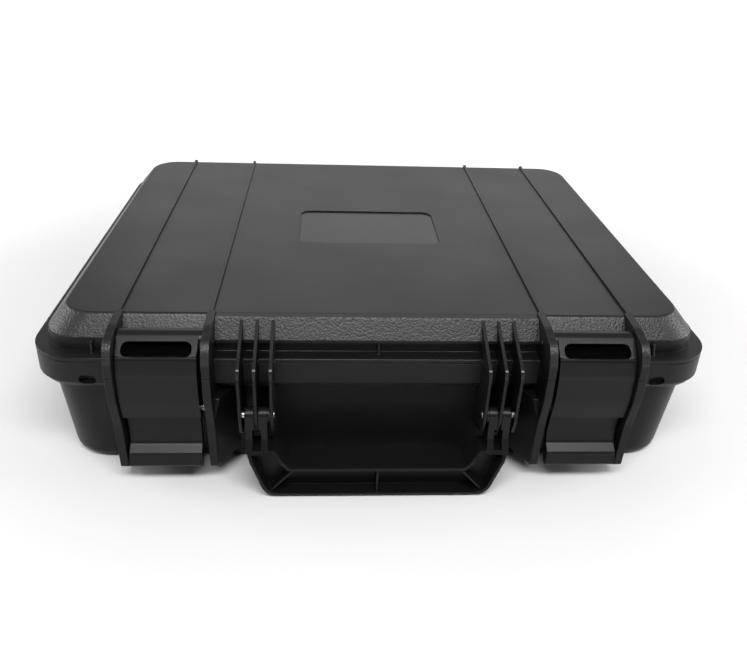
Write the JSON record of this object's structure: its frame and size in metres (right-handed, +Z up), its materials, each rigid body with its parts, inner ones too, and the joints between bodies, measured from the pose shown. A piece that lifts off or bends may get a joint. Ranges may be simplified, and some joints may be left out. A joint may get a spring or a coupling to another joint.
{
  "type": "hard carrying case",
  "caption": "Moulded hard carrying case with hinged lid, snap latches, a folding front handle, a rim seal and a foam lining with a pocket.",
  "frame": {"origin": "centre of the flat underside", "axes": "+X to the right along the case's width as the handle side is faced, +Y from the handle side to the hinge side, +Z up"},
  "size_m": [0.397, 0.3745, 0.1002],
  "materials": {
    "shell": "satin, fine moulded texture",
    "latch": "smooth satin",
    "handle": "satin",
    "gasket": "matte",
    "steel_pin": "brushed",
    "foam": "open-cell foam"
  },
  "bodies": {
    "base": {"base_shell": "shell", "catch_pin_left": "steel_pin", "catch_pin_right": "steel_pin", "handle_pin_left": "steel_pin", "handle_pin_right": "steel_pin", "hinge_pin_left": "steel_pin", "hinge_pin_right": "steel_pin", "rim_gasket": "gasket", "foam_frame": "foam", "foam_base": "foam"},
    "lid": {"lid_shell": "shell", "foam_lid": "foam", "latch_pin_left": "steel_pin", "latch_pin_right": "steel_pin"},
    "latch_left": {"latch_left": "latch"},
    "latch_right": {"latch_right": "latch"},
    "handle": {"handle": "handle"}
  },
  "joints": [
    {"name": "lid_hinge", "type": "hinge", "parent": "base", "child": "lid", "pos_m": [0, 0.1765, 0.076], "axis": [-1, 0, 0], "range_deg": [0, 105]},
    {"name": "latch_left_pivot", "type": "hinge", "parent": "lid", "child": "latch_left", "pos_m": [-0.1224, -0.163, 0.0892], "axis": [-1, 0, 0], "range_deg": [-3.4, 110]},
    {"name": "latch_right_pivot", "type": "hinge", "parent": "lid", "child": "latch_right", "pos_m": [0.1224, -0.163, 0.0892], "axis": [-1, 0, 0], "range_deg": [-3.4, 110]},
    {"name": "handle_pivot", "type": "hinge", "parent": "base", "child": "handle", "pos_m": [0, -0.1795, 0.0505], "axis": [-1, 0, 0], "range_deg": [-10, 100]}
  ]
}
